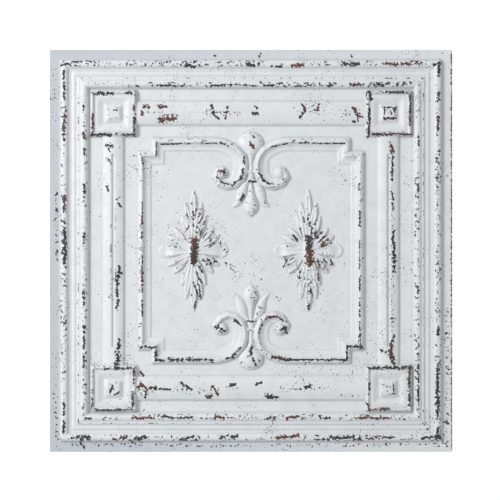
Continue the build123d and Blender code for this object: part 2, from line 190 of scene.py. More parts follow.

# %% [markdown]
# ## Struck patches
#
# Most chips can fall anywhere along a crest, and nobody would miss one. Others are
# what you know this tile by: the rusty hearts of the rosettes, the dark runs on the
# frame, the edges of the corner blocks. They are placed one by one, each as a stroke
# with two ends and a width, judged on the photograph's own pixel ruler, and
# a rust number from 0, black, to 1, red. The paint eats into their outlines later.

# %% Strokes: two ends, width and rust
PIXEL = 1.5 * MM
PATTERN_CENTRE = (250.9, 250.7)
strokes = {
    "rosette hearts": [
        (194.2, 239, 194.0, 247, 8.6, 1.0), (194.6, 246, 194.2, 262, 9.2, 0.35),
        (308.6, 238.5, 309.0, 250, 8.6, 0.3), (309.4, 251, 309.4, 262, 9.2, 0.95),
    ],
    "petals of the left rosette": [
        (193.4, 212, 193.6, 227.5, 2.2, 0.5), (196.2, 209.5, 194.8, 217, 1.8, 0.0),
        (187.3, 214, 190.2, 222.5, 1.6, 0.0), (200.2, 213.5, 198.8, 217.5, 2.4, 0.5),
        (202.3, 217.5, 198.8, 223.5, 1.5, 0.0), (204.6, 221, 200.0, 235.5, 1.5, 0.5),
        (206.9, 232, 203.0, 238, 1.8, 0.4), (214.4, 243, 209.0, 247.6, 1.9, 0.3),
        (211.8, 239, 209.6, 241.6, 1.7, 0.1), (189.3, 226, 185.5, 231.8, 1.5, 0.0),
        (203.4, 260, 206.8, 264.4, 1.7, 0.0), (207.0, 258.4, 211.2, 263.2, 1.8, 0.0),
        (213.0, 257.6, 216.4, 262.0, 1.7, 0.0), (198.8, 266.5, 202.6, 272, 2.0, 0.0),
        (196.8, 272.5, 201.6, 283, 2.2, 0.2), (193.8, 282, 197.2, 293.4, 2.2, 0.0),
        (199.2, 285, 201.2, 299, 1.7, 0.0), (195.6, 301, 194.6, 307.6, 1.8, 0.1),
    ],
    "petals of the right rosette": [
        (308.8, 214, 307.4, 219.6, 2.4, 0.0), (309.6, 222, 309.4, 226, 3.1, 0.0),
        (303.0, 216, 305.2, 223.4, 1.5, 0.0), (317.0, 219.5, 313.4, 225, 2.1, 0.0),
        (311.8, 227.5, 311.4, 234.5, 2.1, 0.0), (316.0, 229, 314.8, 236, 2.2, 0.0),
        (300.0, 228, 301.8, 235.0, 1.7, 0.0), (292.8, 235.4, 296.8, 240, 2.6, 0.0),
        (321.4, 231.6, 316.2, 239.4, 2.4, 0.2), (324.6, 236.4, 319.6, 241.6, 2.6, 0.6),
        (328.6, 238, 321.6, 245, 2.6, 0.7), (332.0, 243.0, 318.6, 248.4, 1.5, 0.0),
        (317.6, 260, 319.2, 267.4, 2.2, 0.7), (324.0, 259.6, 326.0, 262.6, 2.1, 0.0),
        (330.4, 260.4, 332.0, 263, 2.2, 0.0), (317.4, 272.4, 318.8, 280.0, 2.0, 0.9),
        (310.6, 289, 312.8, 295.4, 2.1, 0.0), (308.6, 305, 308.2, 308.4, 2.9, 0.0),
        (287.6, 259.0, 283.2, 266.8, 1.7, 0.0), (299.6, 270.5, 299.2, 278.5, 1.5, 0.0),
    ],
    "frame, top and bottom": [
        (160.6, 144.4, 175, 144.2, 1.6, 0.0), (173, 144.4, 190, 143.6, 1.9, 0.0),
        (202, 143.8, 217, 143.4, 1.6, 0.0), (220.6, 143.4, 228, 145.6, 2.0, 0.0),
        (271, 147.2, 287.5, 143.8, 1.4, 0.0), (299, 143, 309, 143.4, 2.0, 0.0),
        (312, 143.4, 330, 143.8, 1.6, 0.0), (332, 143.4, 345, 143.8, 1.4, 0.0),
        (156, 359.6, 166, 360.2, 3.1, 0.0), (169.6, 359.4, 183, 359.4, 3.8, 0.05),
        (186.6, 359.4, 201.4, 359.4, 3.9, 0.4), (205, 359.4, 212.4, 359.4, 2.3, 0.1),
        (226.6, 358.4, 233.4, 356.6, 2.7, 0.0), (233.6, 354.4, 240.8, 347.2, 2.6, 0.1),
        (272, 356.6, 289, 359.6, 3.9, 0.5), (289, 359.2, 312, 359.4, 2.2, 0.0),
        (312, 359.4, 330, 359.6, 2.3, 0.0), (329, 359.4, 345.6, 359.4, 2.6, 0.0),
        (346.6, 355.6, 346.0, 360.4, 2.0, 0.0),
    ],
    "frame, sides and notches": [
        (141, 346.8, 156, 347.0, 3.0, 0.0), (155.8, 347.5, 156.0, 360, 3.0, 0.0),
        (347, 345.8, 361, 346.0, 3.0, 0.0), (346.8, 346.5, 347.0, 359.5, 2.6, 0.0),
        (359.6, 334, 359.8, 346, 2.8, 0.0), (359.4, 322, 359.4, 330, 2.0, 0.0),
        (156.6, 142, 156.4, 157, 1.2, 0.0), (142.4, 157.4, 143.4, 165, 1.6, 0.0),
        (142.6, 202, 142.6, 216, 1.3, 0.3), (142.4, 216.6, 142.2, 228, 2.4, 0.9),
        (142.2, 232.6, 142.0, 238, 2.6, 0.95), (142.6, 255, 142.8, 263, 1.4, 0.0),
        (142.4, 267, 142.4, 277, 2.4, 0.4), (142.4, 276, 142.4, 285, 2.4, 0.9),
        (142.6, 287, 142.6, 292, 1.6, 0.6), (142.6, 300, 142.8, 317, 1.7, 0.0),
        (359.3, 183, 359.4, 190, 2.2, 0.0), (359.2, 212, 359.3, 226, 2.2, 0.2),
        (359.4, 276, 359.3, 290, 2.2, 0.0), (359.2, 242, 359.2, 253, 1.4, 0.0),
        (359.2, 256, 359.2, 269, 1.4, 0.0), (359.4, 301, 359.3, 306, 1.7, 0.0),
        (359.0, 309, 359.2, 316, 2.0, 0.0),
    ],
    "scrolls and fleurs": [
        (243.8, 157.6, 244.2, 163.6, 2.2, 0.0), (243.8, 169.6, 241.8, 178, 3.0, 0.0),
        (241.8, 178, 233.8, 184.4, 3.0, 0.1), (232.6, 185.6, 221.6, 183, 2.3, 0.3),
        (221.2, 182.6, 217.0, 177.6, 1.7, 0.3), (218.4, 171.2, 224.6, 172.4, 3.4, 0.5),
        (224.2, 169.6, 223.8, 175.2, 2.0, 0.3), (259.4, 173.8, 263.4, 179.4, 2.8, 0.0),
        (263.4, 180.4, 267, 183.2, 2.8, 0.0), (267.4, 183, 274, 184.8, 2.0, 0.0),
        (253.2, 136, 254.2, 138, 2.2, 0.0), (250.2, 143.4, 253.2, 147.4, 3.8, 0.8),
        (249.0, 181.2, 256.0, 181.8, 2.2, 0.0), (243.6, 195.6, 241.4, 200, 3.4, 0.0),
        (216.2, 326.4, 224.4, 330.4, 3.8, 0.1), (219.6, 330.4, 222.4, 333, 2.6, 0.0),
        (234.6, 320, 240.4, 324.6, 3.0, 0.2), (265.4, 317.8, 277.4, 316, 2.9, 0.7),
        (278.6, 317.6, 283.2, 320.8, 2.0, 0.0), (283.4, 326.4, 286.0, 332.2, 3.8, 0.2),
        (247.6, 321, 253.6, 321.2, 2.2, 0.0), (251.8, 346.6, 249.4, 356.4, 3.9, 0.0),
        (253.0, 358.8, 256.2, 365, 3.6, 0.0), (262.6, 323.6, 258.8, 333, 1.8, 0.1),
    ],
    "corner blocks": [
        (93, 93.6, 113, 93.8, 3.2, 0.0), (126, 93.4, 132, 93.6, 2.5, 0.0),
        (134.4, 106, 134.4, 115, 3.2, 0.8), (134.6, 118.4, 134.4, 132, 3.4, 0.0),
        (93.2, 115, 93.2, 131.6, 3.3, 0.95), (91.4, 135.2, 111, 135, 3.5, 0.2),
        (124, 135, 135.4, 134.8, 3.2, 0.6), (368.6, 92, 371.2, 99.6, 3.4, 0.0),
        (368.8, 108, 368.6, 119, 3.4, 0.0), (368.6, 119, 368.2, 136, 3.6, 0.1),
        (386, 92.6, 406.6, 93.2, 2.6, 0.0), (409.8, 96, 409.8, 111, 3.0, 0.1),
        (409.6, 111.6, 409.4, 126, 3.3, 1.0), (373, 134.8, 391, 134.6, 3.3, 0.4),
        (389, 134.4, 404, 134.2, 3.2, 0.85), (402, 134.4, 411, 135, 2.6, 0.4),
        (383.6, 108, 395.2, 108, 2.2, 0.0), (384, 108.4, 384, 115, 1.7, 0.0),
        (395, 108, 394.2, 113, 2.4, 0.0), (383.2, 118.8, 395.8, 118.8, 2.7, 0.5),
        (389.6, 110.6, 391.4, 113.6, 1.8, 0.0), (115.6, 368.2, 124, 367.4, 3.6, 0.4),
        (106, 368.6, 109, 367.8, 2.8, 0.0), (124, 367.6, 134.6, 367.6, 2.6, 0.1),
        (92.4, 401.6, 92.2, 408, 2.8, 0.0), (96.6, 409.6, 112, 409.4, 2.5, 0.0),
        (115, 409.8, 133.4, 408.2, 3.2, 0.0), (133.2, 392, 133.2, 408.4, 2.5, 0.2),
        (134.2, 368, 134, 382.6, 2.6, 0.0), (112.8, 386, 110.8, 391.6, 3.3, 0.4),
        (115.0, 394.4, 119.4, 391.6, 2.0, 0.0), (369.6, 367.6, 390, 367.4, 3.6, 0.1),
        (389, 367.4, 411, 367.2, 3.6, 0.2), (408.8, 369, 408.4, 379, 3.0, 0.7),
        (408.6, 380, 408.8, 404, 3.0, 0.0), (366.4, 403, 369.6, 409.8, 3.0, 0.9),
        (373.2, 408.8, 376, 408.8, 3.0, 0.9), (380.8, 408.6, 387.6, 408.4, 3.6, 0.9),
        (368.8, 383.6, 368.8, 388.4, 2.8, 0.2), (392.2, 383, 393.8, 392, 2.0, 0.0),
    ],
    "bands": [
        (151.0, 387.0, 156.4, 387.4, 3.4, 0.0), (160.0, 388.6, 170.0, 389.2, 3.2, 0.2),
        (181.0, 382.8, 184.6, 386.4, 3.2, 0.0), (186.0, 385.0, 191.4, 389.0, 3.0, 0.0),
        (160.4, 119.8, 175.4, 119.0, 7.2, 0.95), (144.6, 106.6, 149.6, 107.8, 4.1, 0.7),
        (142.2, 110.8, 142.8, 114.6, 3.6, 0.7), (159.2, 107.8, 165.2, 107.0, 3.8, 0.6),
        (211.4, 105.2, 214.6, 113.6, 2.6, 0.3), (211.6, 113.4, 218.6, 118.6, 2.6, 0.3),
        (228.0, 107.6, 225.0, 119.0, 2.6, 0.5), (253.0, 114.0, 258.4, 114.6, 3.4, 0.4),
        (254.4, 105.8, 257.2, 108.8, 2.6, 0.0), (302.0, 105.0, 305.4, 111.6, 3.1, 0.3),
        (305.0, 111.6, 299.6, 117.2, 3.1, 0.3), (318.4, 104.6, 316.8, 112.6, 2.6, 0.6),
        (353.6, 109.4, 359.4, 117.0, 5.3, 0.6), (353.4, 121.8, 357.4, 121.4, 3.1, 0.0),
        (137.6, 388.8, 141.6, 382.8, 3.4, 0.85), (141.4, 382.8, 147.4, 390.0, 3.8, 0.7),
        (147.4, 389.6, 145.4, 397.0, 3.0, 0.1), (149.2, 388.0, 155.6, 388.4, 2.9, 0.0),
        (140.4, 371.6, 143.4, 375.4, 2.9, 0.7), (212.6, 385.6, 218.2, 394.0, 3.4, 0.6),
        (207.2, 396.4, 212.0, 396.0, 3.6, 0.5), (265.6, 395.4, 276.2, 397.4, 4.6, 0.0),
        (256.0, 384.6, 261.6, 381.8, 2.9, 0.0), (306.2, 386.8, 310.4, 386.0, 4.8, 0.0),
        (230.6, 384.8, 234.4, 384.4, 3.8, 0.0),
    ],
    "pilasters": [
        (119.6, 267.0, 118.8, 276.0, 3.8, 0.0), (117.2, 288.0, 117.6, 296.4, 3.0, 0.0),
        (118.8, 300.0, 117.2, 309.0, 3.2, 0.0), (119.6, 340.0, 118.6, 349.0, 3.4, 0.0),
        (106.8, 145.0, 112.8, 146.4, 4.2, 0.0), (108.6, 148.4, 109.8, 151.0, 3.0, 0.0),
        (107.0, 158.6, 110.8, 161.4, 3.6, 0.0), (107.2, 187.0, 108.8, 191.0, 3.0, 0.0),
        (390.2, 143.8, 392.6, 151.4, 4.2, 0.75), (390.4, 151.6, 392.4, 158, 3.0, 0.2),
        (392.0, 160, 392.0, 168.6, 2.4, 0.0), (392.0, 171, 391.8, 181, 2.6, 0.0),
        (391.4, 192, 392.6, 200, 2.4, 0.0), (391.6, 204, 393.2, 209.6, 3.0, 0.0),
        (393.4, 230, 392.4, 237, 2.8, 0.0), (392.6, 238.6, 394.4, 249, 3.6, 0.0),
        (392.8, 252.4, 394.4, 262.6, 3.8, 0.0), (393.6, 266.8, 393.6, 272.2, 3.8, 0.0),
        (391.6, 317.8, 395.2, 318.2, 3.4, 0.0), (393.4, 336, 390.6, 343, 3.0, 0.2),
        (391.6, 344, 389.4, 355, 5.4, 0.5), (390.6, 355.6, 393.6, 363, 6.4, 0.3),
        (380.6, 349.8, 386.0, 351.8, 3.2, 0.0), (117.6, 277.6, 122.2, 272.8, 3.2, 0.0),
        (116.0, 278.6, 118.0, 285.2, 3.6, 0.0), (117.4, 352.0, 119.4, 358.4, 4.8, 0.0),
        (116.2, 365.0, 119.0, 359.8, 5.2, 0.0), (117.2, 199.6, 121.4, 196.8, 2.0, 0.0),
        (117.8, 203.2, 121.4, 207, 1.9, 0.0),
    ],
    "outer bead": [
        (61.6, 65.6, 72.4, 63.8, 3.0, 0.0), (64.4, 71, 64.6, 84, 2.6, 0.0),
        (64.8, 83, 64.7, 100, 2.9, 0.0), (65.0, 115, 64.4, 123, 2.5, 0.8),
        (64.4, 125.4, 64.6, 131, 3.0, 0.1), (64.4, 134.6, 64.6, 140, 3.0, 0.0),
        (64.8, 196, 65.0, 203.8, 4.2, 1.0), (64.6, 204.4, 64.6, 210.8, 3.3, 0.4),
        (64.8, 230, 65.2, 236, 3.7, 0.0), (64.8, 240, 65.2, 247.6, 4.2, 0.1),
        (65.2, 247.6, 65.4, 262, 4.8, 0.15), (64.6, 404, 64.6, 414, 3.0, 0.0),
        (64.6, 421, 64.8, 432.6, 3.2, 0.0), (185, 65.6, 194.8, 67.2, 3.2, 0.0),
        (247, 65, 254, 66.4, 3.7, 0.0), (272, 67, 281.4, 67, 2.4, 0.0),
        (292, 66.8, 302.4, 65.2, 3.9, 0.95), (343.6, 64.2, 358, 64.6, 4.2, 0.35),
        (383.6, 64.2, 397.6, 64.8, 3.1, 0.7), (401.6, 63.8, 409, 64.4, 2.6, 0.6),
        (409.6, 65, 418.4, 64.8, 2.3, 0.8), (433, 65.4, 439.6, 63.4, 3.2, 0.0),
        (438.0, 66.4, 438.4, 76, 3.4, 0.0), (437.8, 93.6, 438, 100, 3.4, 0.0),
        (437.6, 117, 437.4, 131, 2.9, 0.7), (437.4, 366, 436.6, 377.6, 4.4, 0.0),
        (437.0, 381.6, 437.0, 390, 4.5, 0.0), (437.2, 391, 437.0, 404, 4.7, 0.0),
        (437.0, 402, 437.0, 415, 4.7, 0.0), (437.6, 327, 437.4, 334, 3.4, 0.0),
        (428.6, 436.6, 439.4, 435.6, 3.8, 0.0), (437.4, 429, 437.6, 437, 3.4, 0.0),
        (422, 437.6, 427.4, 436, 3.1, 0.0), (72, 438, 78, 436.6, 2.4, 0.0),
        (83, 436.4, 89.6, 437.6, 3.8, 0.0), (123.4, 438.6, 127, 436, 2.1, 0.0),
        (135.6, 438.2, 146.6, 436.4, 3.4, 0.2), (183.6, 438.6, 193.4, 436.4, 2.4, 0.0),
        (219.8, 437.6, 228, 434.4, 2.8, 0.0), (231, 436.2, 238, 434.6, 3.1, 0.0),
        (276.6, 437.2, 299, 434.8, 3.7, 0.9), (333.6, 437.6, 350, 436.4, 2.6, 0.0),
        (368.6, 438.6, 379, 435.6, 2.2, 0.6), (382.4, 437, 393.6, 436.6, 2.6, 0.1),
    ],
    "inner bead": [
        (153, 86.2, 171.6, 85.8, 2.4, 0.0), (173.6, 86.4, 187.4, 86.4, 1.8, 0.0),
        (210.6, 86.2, 231.4, 85.2, 2.1, 0.1), (235.6, 85.2, 253.4, 86.0, 1.8, 0.0),
        (260.4, 82.4, 265, 86.2, 1.8, 0.0), (264, 86.2, 275, 85.7, 2.2, 0.0),
        (291.6, 86.6, 302.6, 86.5, 1.8, 0.0), (306, 86.4, 309, 84.4, 2.9, 0.2),
        (329.4, 86.6, 334, 84.6, 3.2, 0.1), (350.4, 85.6, 359.4, 85.2, 4.0, 0.65),
        (370.6, 85.2, 389, 85.0, 1.9, 0.0), (84.0, 103, 84.0, 111, 2.2, 0.0),
        (84.2, 132, 84.4, 140, 2.6, 0.7), (84.8, 149.6, 85, 155, 2.6, 0.0),
        (84.8, 184.6, 85.2, 192, 3.2, 0.0), (84.6, 233.6, 84.8, 243, 2.6, 0.0),
        (84.6, 290.6, 84.4, 304, 3.0, 0.0), (84.8, 326.6, 84.4, 344.6, 2.8, 0.15),
        (84.2, 355, 84.4, 366.4, 2.3, 0.0), (85.6, 417.8, 91.6, 418, 2.6, 0.0),
        (133.6, 417.8, 149, 417.0, 3.7, 0.9), (163, 416, 176.6, 417.4, 2.5, 0.2),
        (180.6, 418, 192.4, 416.4, 2.6, 0.3), (215.6, 415.2, 223.6, 417.6, 3.5, 0.8),
        (265.6, 418, 278, 415.6, 2.6, 0.2), (285.6, 418, 298.4, 416, 3.3, 0.8),
        (322.6, 418, 330, 416.6, 2.1, 0.0), (357.6, 417.6, 372, 417.2, 2.3, 0.8),
        (374.6, 417.6, 388.6, 417.6, 2.3, 0.7), (418.0, 135, 418.0, 146, 2.4, 0.5),
        (417.8, 184.6, 417.6, 198.6, 2.1, 0.3), (417.2, 287, 417.0, 293, 2.3, 0.0),
        (417.4, 388.6, 418, 402, 2.1, 0.0),
    ],
    "flange": [
        (80, 442.6, 84.6, 448.6, 2.4, 0.0), (130, 439.4, 136.4, 444.8, 2.6, 0.0),
        (56.8, 192.6, 57.2, 195, 2.0, 0.0), (57.2, 209, 57.6, 212, 2.4, 0.0),
        (57.0, 250.8, 57.4, 252.8, 2.2, 0.0), (214.2, 55.4, 215.4, 56.8, 2.2, 0.0),
        (260.6, 54, 259.2, 57, 2.0, 0.0), (351, 54.8, 352, 56.6, 2.2, 0.0),
        (447.2, 413.6, 448.6, 414.6, 2.4, 0.0), (444, 421.6, 447.6, 423.8, 2.0, 0.0),
        # The last flange stroke, a thin dark line down the whole right edge, is painted shadow
        # along the rim.
        (439.6, 437.4, 444.6, 443.4, 1.8, 0.0), (451.9, 52, 451.9, 449, 2.2, 0.3),
    ],
}
print(sum(len(group) for group in strokes.values()), "strokes in", len(strokes), "places")

# %% [markdown]
# ## Showers of dots
#
# Round the patches, and all along the bands, pilasters and border, the real tile has
# loose dots in their thousands. Nobody could place them one by one. A shower is a
# wide, weak stroke instead. Alone it bares nothing, but it lifts the noise that the
# paint gets later, and a dot shows wherever that noise peaks.

# %% Showers, written the same way
showers = [
    (205, 112, 240, 114, 13, 0.4), (296, 112, 322, 111, 14, 0.4), (341, 113, 358, 114, 14, 0.4),
    (146, 112, 172, 113, 9, 0.7), (140, 389, 162, 390, 14, 0.3), (176, 389, 218, 391, 13, 0.5),
    (280, 388, 330, 387, 13, 0.1), (228, 388, 240, 387, 9, 0.0), (342, 395, 358, 395, 5, 0.3),
    (74, 444, 190, 445, 8, 0.0), (196, 446, 330, 445, 6, 0.0), (340, 445, 448, 444, 8, 0.0),
    (55, 190, 57, 262, 7, 0.2), (55, 380, 57, 446, 8, 0.0), (447, 300, 447, 446, 8, 0.0),
    (427, 428, 446, 444, 18, 0.0), (391, 142, 392, 232, 8, 0.2), (392, 240, 392, 364, 8, 0.1),
    (118, 350, 119, 366, 9, 0.0), (119, 270, 118, 290, 9, 0.0), (110, 296, 119, 306, 8, 0.0),
    (96, 418, 416, 418, 6, 0.5), (418, 366, 418, 420, 6, 0.1), (84, 372, 84, 416, 5, 0.0),
    (437, 150, 437, 320, 5, 0.0),
    (314, 259, 324, 270, 17, 0.3), (305, 221, 314, 236, 17, 0.2), (318, 238, 326, 243, 10, 0.4),
    (204, 231, 210, 239, 9, 0.2), (201, 263, 213, 262, 12, 0.0), (194, 216, 198, 232, 14, 0.3),
    (197, 278, 200, 298, 10, 0.0), (285, 258, 290, 266, 10, 0.0), (226, 262, 238, 276, 10, 0.0),
    (301, 270, 304, 290, 13, 0.0), (312, 272, 309, 296, 14, 0.2), (213, 232, 226, 252, 7, 0.1),
    (251, 292, 254, 302, 11, 0.0), (275, 297, 281, 300, 9, 0.0), (232, 265, 240, 274, 8, 0.0),
    (384, 384, 393, 391, 12, 0.3), (108, 386, 118, 393, 12, 0.4), (112, 110, 119, 111, 6, 0.0),
    (385, 109, 394, 118, 12, 0.3), (140, 346, 160, 352, 6, 0.0), (60, 300, 66, 432, 5, 0.0),
]
print(len(showers), "showers")

# %% [markdown]
# ## Strokes on the net
#
# A stroke could be a set of texture nodes, but hundreds of them would be worked out
# again for each ray of light. We work them out once, on the net. A stroke is deepest
# on its middle line, has the edge depth at half its width, and falls off to nothing
# beyond. The rust number is kept beside it, a little past the outline, so that it
# never fades inside a chip.

# %% Give every stroke its depth
STROKE_DEPTH, HEART_DEPTH, SHOWER_DEPTH = 1.2, 1.45, 0.46
EDGE_DEPTH, HALF_WIDTH, SHOWER_FADE = 0.5, 0.5, 1.0
marks = []
for place, group in strokes.items():
    depth = HEART_DEPTH if place == "rosette hearts" else STROKE_DEPTH
    marks += [(stroke, depth, HALF_WIDTH / (depth - EDGE_DEPTH)) for stroke in group]
marks += [(shower, SHOWER_DEPTH, SHOWER_FADE) for shower in showers]
print(len(marks), "marks to draw")

# %% Draw them on the net
RUST_REACH = -0.4
struck = np.zeros((knots, knots))
rust_depth = np.full((knots, knots), RUST_REACH)
rust = np.zeros((knots, knots))
for (x1, y1, x2, y2, width, redness), depth, fade_share in marks:
    fade = width * fade_share * PIXEL
    start = np.array([x1 - PATTERN_CENTRE[0], PATTERN_CENTRE[1] - y1]) * PIXEL
    run = np.array([x2 - x1, y1 - y2]) * PIXEL
    reach = (depth - RUST_REACH) * fade
    low = np.minimum(start, start + run) - reach
    high = np.maximum(start, start + run) + reach
    window = tuple(slice(*np.searchsorted(line, (low[a], high[a]))) for a in (1, 0))
    away = np.stack(np.meshgrid(line[window[1]], line[window[0]]), axis=-1) - start
    along = np.clip(away @ run / (run @ run), 0, 1)
    from_line = np.linalg.norm(away - along[..., None] * run, axis=-1)
    fall = depth - from_line / fade
    rust[window] = np.where(fall > rust_depth[window], redness, rust[window])
    rust_depth[window] = np.maximum(rust_depth[window], fall)
    struck[window] = np.maximum(struck[window], fall)
covered = float((struck > EDGE_DEPTH).mean())
print("strokes cover", round(100 * covered, 1), "% of the sheet")

# %% [markdown]
# ## From net to mesh
#
# A mesh through every knot has a million triangles, most of them on flat ground.
# Blender's Decimate modifier collapses edges where nothing bends and keeps them
# where the surface curves, which suits a relief with large plain fields. It has to
# keep vertices at the strokes and in the hollows too, because they carry the numbers
# for wear and painted shade. So while it works each stroke is raised like a small tent
# and each hollow pressed in like a pit, and afterwards every vertex goes back to the true surface.

# %% Weave the front
TENT, PIT = 0.5 * MM, 0.2 * MM


def woven(name, heights):
    """A grid mesh through the net's knots."""
    points = np.stack([xs, ys, heights], axis=-1).reshape(-1, 3)
    index = np.arange(knots * knots).reshape(knots, knots)
    corners = [index[:-1, :-1], index[:-1, 1:], index[1:, 1:], index[1:, :-1]]
    quads = np.stack(corners, axis=-1).reshape(-1, 4)
    mesh = bpy.data.meshes.new(name)
    mesh.vertices.add(len(points))
    mesh.vertices.foreach_set("co", points.astype(np.float32).ravel())
    mesh.loops.add(quads.size)
    mesh.loops.foreach_set("vertex_index", quads.astype(np.int32).ravel())
    mesh.polygons.add(len(quads))
    mesh.polygons.foreach_set("loop_start", np.arange(0, quads.size, 4, dtype=np.int32))
    mesh.update(calc_edges=True)
    return mesh


front_net = woven("front net", skin + TENT * struck - PIT * hollow)
print("front net:", len(front_net.polygons), "squares")

# %% Thin the front
FRONT_TRIANGLES = 146_000


def thinned(mesh, triangles):
    """The mesh with its flat ground collapsed, as arrays of points and triangles."""
    piece = bpy.data.objects.new("net", mesh)
    bpy.context.collection.objects.link(piece)
    collapse = piece.modifiers.new("collapse", "DECIMATE")
    collapse.ratio = triangles / (2 * len(mesh.polygons))
    collapse.use_collapse_triangulate = True
    result = piece.evaluated_get(bpy.context.evaluated_depsgraph_get()).to_mesh()
    points = np.empty(3 * len(result.vertices), np.float32)
    result.vertices.foreach_get("co", points)
    result.calc_loop_triangles()
    faces = np.empty(3 * len(result.loop_triangles), np.int32)
    result.loop_triangles.foreach_get("vertices", faces)
    bpy.data.objects.remove(piece)
    return points.reshape(-1, 3).astype(float), faces.reshape(-1, 3)


front, front_faces = thinned(front_net, FRONT_TRIANGLES)
print("front:", len(front), "vertices,", len(front_faces), "triangles")

# %% Set the front back on the true surface
LAST_SQUARE = knots - 1.001


def sampled(field, places):
    """Values of a net-wide field at places on the sheet, between knots too."""
    spot = (places[:, :2] + half_side) / (2 * half_side) * (knots - 1)
    spot = np.clip(spot, 0, LAST_SQUARE)
    low = spot.astype(int)
    part = spot - low
    x0, y0, px, py = low[:, 0], low[:, 1], part[:, 0], part[:, 1]
    near = field[y0, x0] * (1 - px) + field[y0, x0 + 1] * px
    far = field[y0 + 1, x0] * (1 - px) + field[y0 + 1, x0 + 1] * px
    return near * (1 - py) + far * py


front[:, 2] = sampled(skin, front)
print("front's highest vertex at", round(front[:, 2].max() / MM, 2), "mm")

# %% [markdown]
# ## The back
#
# The back of a formed sheet follows the front at one sheet thickness. A plain copy
# moved down would be too thin on steep walls, and a copy moved along the normals
# would fold into itself under sharp crests. The true inner surface is the highest
# one that stays a sheet's thickness away from the front in every direction, and on
# a net whose step is that thickness it is the lowest of each knot's neighbours.

# %% Find the inner surface
inner = skin - SHEET
for shift in (-1, 1):
    for axis in (0, 1):
        inner = np.minimum(inner, np.roll(skin, shift, axis))
inner = inner.clip(0)
print("inner surface up to", round(inner.max() / MM, 2), "mm")

# %% Weave and thin the back
BACK_TRIANGLES = 44_000
CLEAR = 0.25 * SHEET
back, back_faces = thinned(woven("back net", inner), BACK_TRIANGLES)
back[:, 2] = np.minimum(back[:, 2], sampled(skin, back) - CLEAR).clip(0)
print("back:", len(back), "vertices,", len(back_faces), "triangles")

# %% [markdown]
# ## Closing the cut edge
#
# The two skins end on the same square outline, but their vertices there don't
# match. Filling the gap with Blender's Bridge Edge Loops would pair them unevenly on
# such long sides. We walk along each side with a foot on either skin instead, and
# always step next with the foot that is behind, which leaves a triangle at each
# step. One closed mesh like that has no loose faces, as the real sheet has none.
# Each side is known by its axis, 0 across and 1 up, and by its sign.

# %% Find the vertices of each side
SIDES = [(0, 1), (0, -1), (1, 1), (1, -1)]


def side_points(points, faces, axis, sign):
    """Vertices on one side of the outline, in order along it."""
    ends = np.concatenate([faces[:, [0, 1]], faces[:, [1, 2]], faces[:, [2, 0]]])
    ends.sort(axis=1)
    pairs, uses = np.unique(ends, axis=0, return_counts=True)
    rim = np.unique(pairs[uses == 1])
    chosen = rim[np.abs(points[rim, axis] - sign * half_side) < NET_STEP / 2]
    points[chosen, axis] = sign * half_side
    return chosen[np.argsort(points[chosen, 1 - axis])]


uppers = [side_points(front, front_faces, *side) for side in SIDES]
lowers = [side_points(back, back_faces, *side) + len(front) for side in SIDES]
all_points = np.concatenate([front, back])
print("along the four sides above:", [len(rim) for rim in uppers], "vertices")
print("along the four sides below:", [len(rim) for rim in lowers], "vertices")

# %% Walk along each side
edge_faces = []
for (axis, sign), upper, lower in zip(SIDES, uppers, lowers):
    reach_up, reach_low = (all_points[rim, 1 - axis].tolist() + [np.inf] for rim in (upper, lower))
    i, j = 0, 0
    while i < len(upper) - 1 or j < len(lower) - 1:
        step_up = reach_up[i + 1] <= reach_low[j + 1]
        corners = [upper[i], lower[j], upper[i + 1] if step_up else lower[j + 1]]
        i, j = (i + 1, j) if step_up else (i, j + 1)
        first, second, third = all_points[corners]
        if np.cross(second - first, third - first)[axis] * sign < 0:
            corners.reverse()
        edge_faces.append(corners)
print("cut edge:", len(edge_faces), "triangles")

# %% [markdown]
# ## One piece from three lots of faces
#
# Front, back and cut edge become one mesh, because the real tile is one sheet. The
# numbers for wear and painted shade could go into a picture, but a picture has a fixed
# fineness and needs a map first. As attributes they sit on the vertices, dense just
# where the wear and the shade are.

# %% Make the sheet
skin_faces = np.concatenate([front_faces, back_faces[:, ::-1] + len(front)])
sheet_faces = np.concatenate([skin_faces, np.array(edge_faces)])
sheet_mesh = bpy.data.meshes.new("tile_sheet_formed")
sheet_mesh.from_pydata(all_points.tolist(), [], sheet_faces.tolist())
for name, field in (("proud", proud), ("hollow", hollow), ("struck", struck), ("rust", rust)):
    values = np.concatenate([sampled(field, front), np.zeros(len(back))])
    on_vertices = sheet_mesh.attributes.new(name, "FLOAT", "POINT")
    on_vertices.data.foreach_set("value", values.astype(np.float32))
sheet = bpy.data.objects.new("formed_sheet", sheet_mesh)
bpy.context.collection.objects.link(sheet)
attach(sheet, "root")
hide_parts("tile_sheet")
print("sheet:", len(sheet_mesh.vertices), "vertices,", len(sheet_mesh.polygons), "faces")

# %% [markdown]
# ## Shading by the true slopes
#
# Long thin triangles beside a moulding would shade in streaks if Blender averaged
# their flat normals. The net still knows the exact slope at each vertex, so we hand
# those to the mesh as custom normals. Only the cut edge keeps flat ones.

# %% Give the sheet its slopes
corner_vertex = np.empty(len(sheet_mesh.loops), np.int32)
sheet_mesh.loops.foreach_get("vertex_index", corner_vertex)
edge_start = 3 * len(skin_faces)


def slopes(heights, places, way):
    """Unit normals of a net-wide surface, upward or downward."""
    slope_y, slope_x = np.gradient(heights, NET_STEP)
    upright = np.ones(len(places))
    steep = np.stack([-sampled(slope_x, places), -sampled(slope_y, places), upright], axis=1)
    return way * steep / np.linalg.norm(steep, axis=1)[:, None]


normals = np.concatenate([slopes(skin, front, 1), slopes(inner, back, -1)])[corner_vertex]
flat_normals = np.array([p.normal for p in sheet_mesh.polygons[len(skin_faces):]])
normals[edge_start:] = np.repeat(flat_normals, 3, axis=0)
is_smooth = np.arange(len(sheet_mesh.polygons)) < len(skin_faces)
sheet_mesh.polygons.foreach_set("use_smooth", is_smooth)
sheet_mesh.normals_split_custom_set(normals.tolist())
print("normals set at", len(normals), "corners")
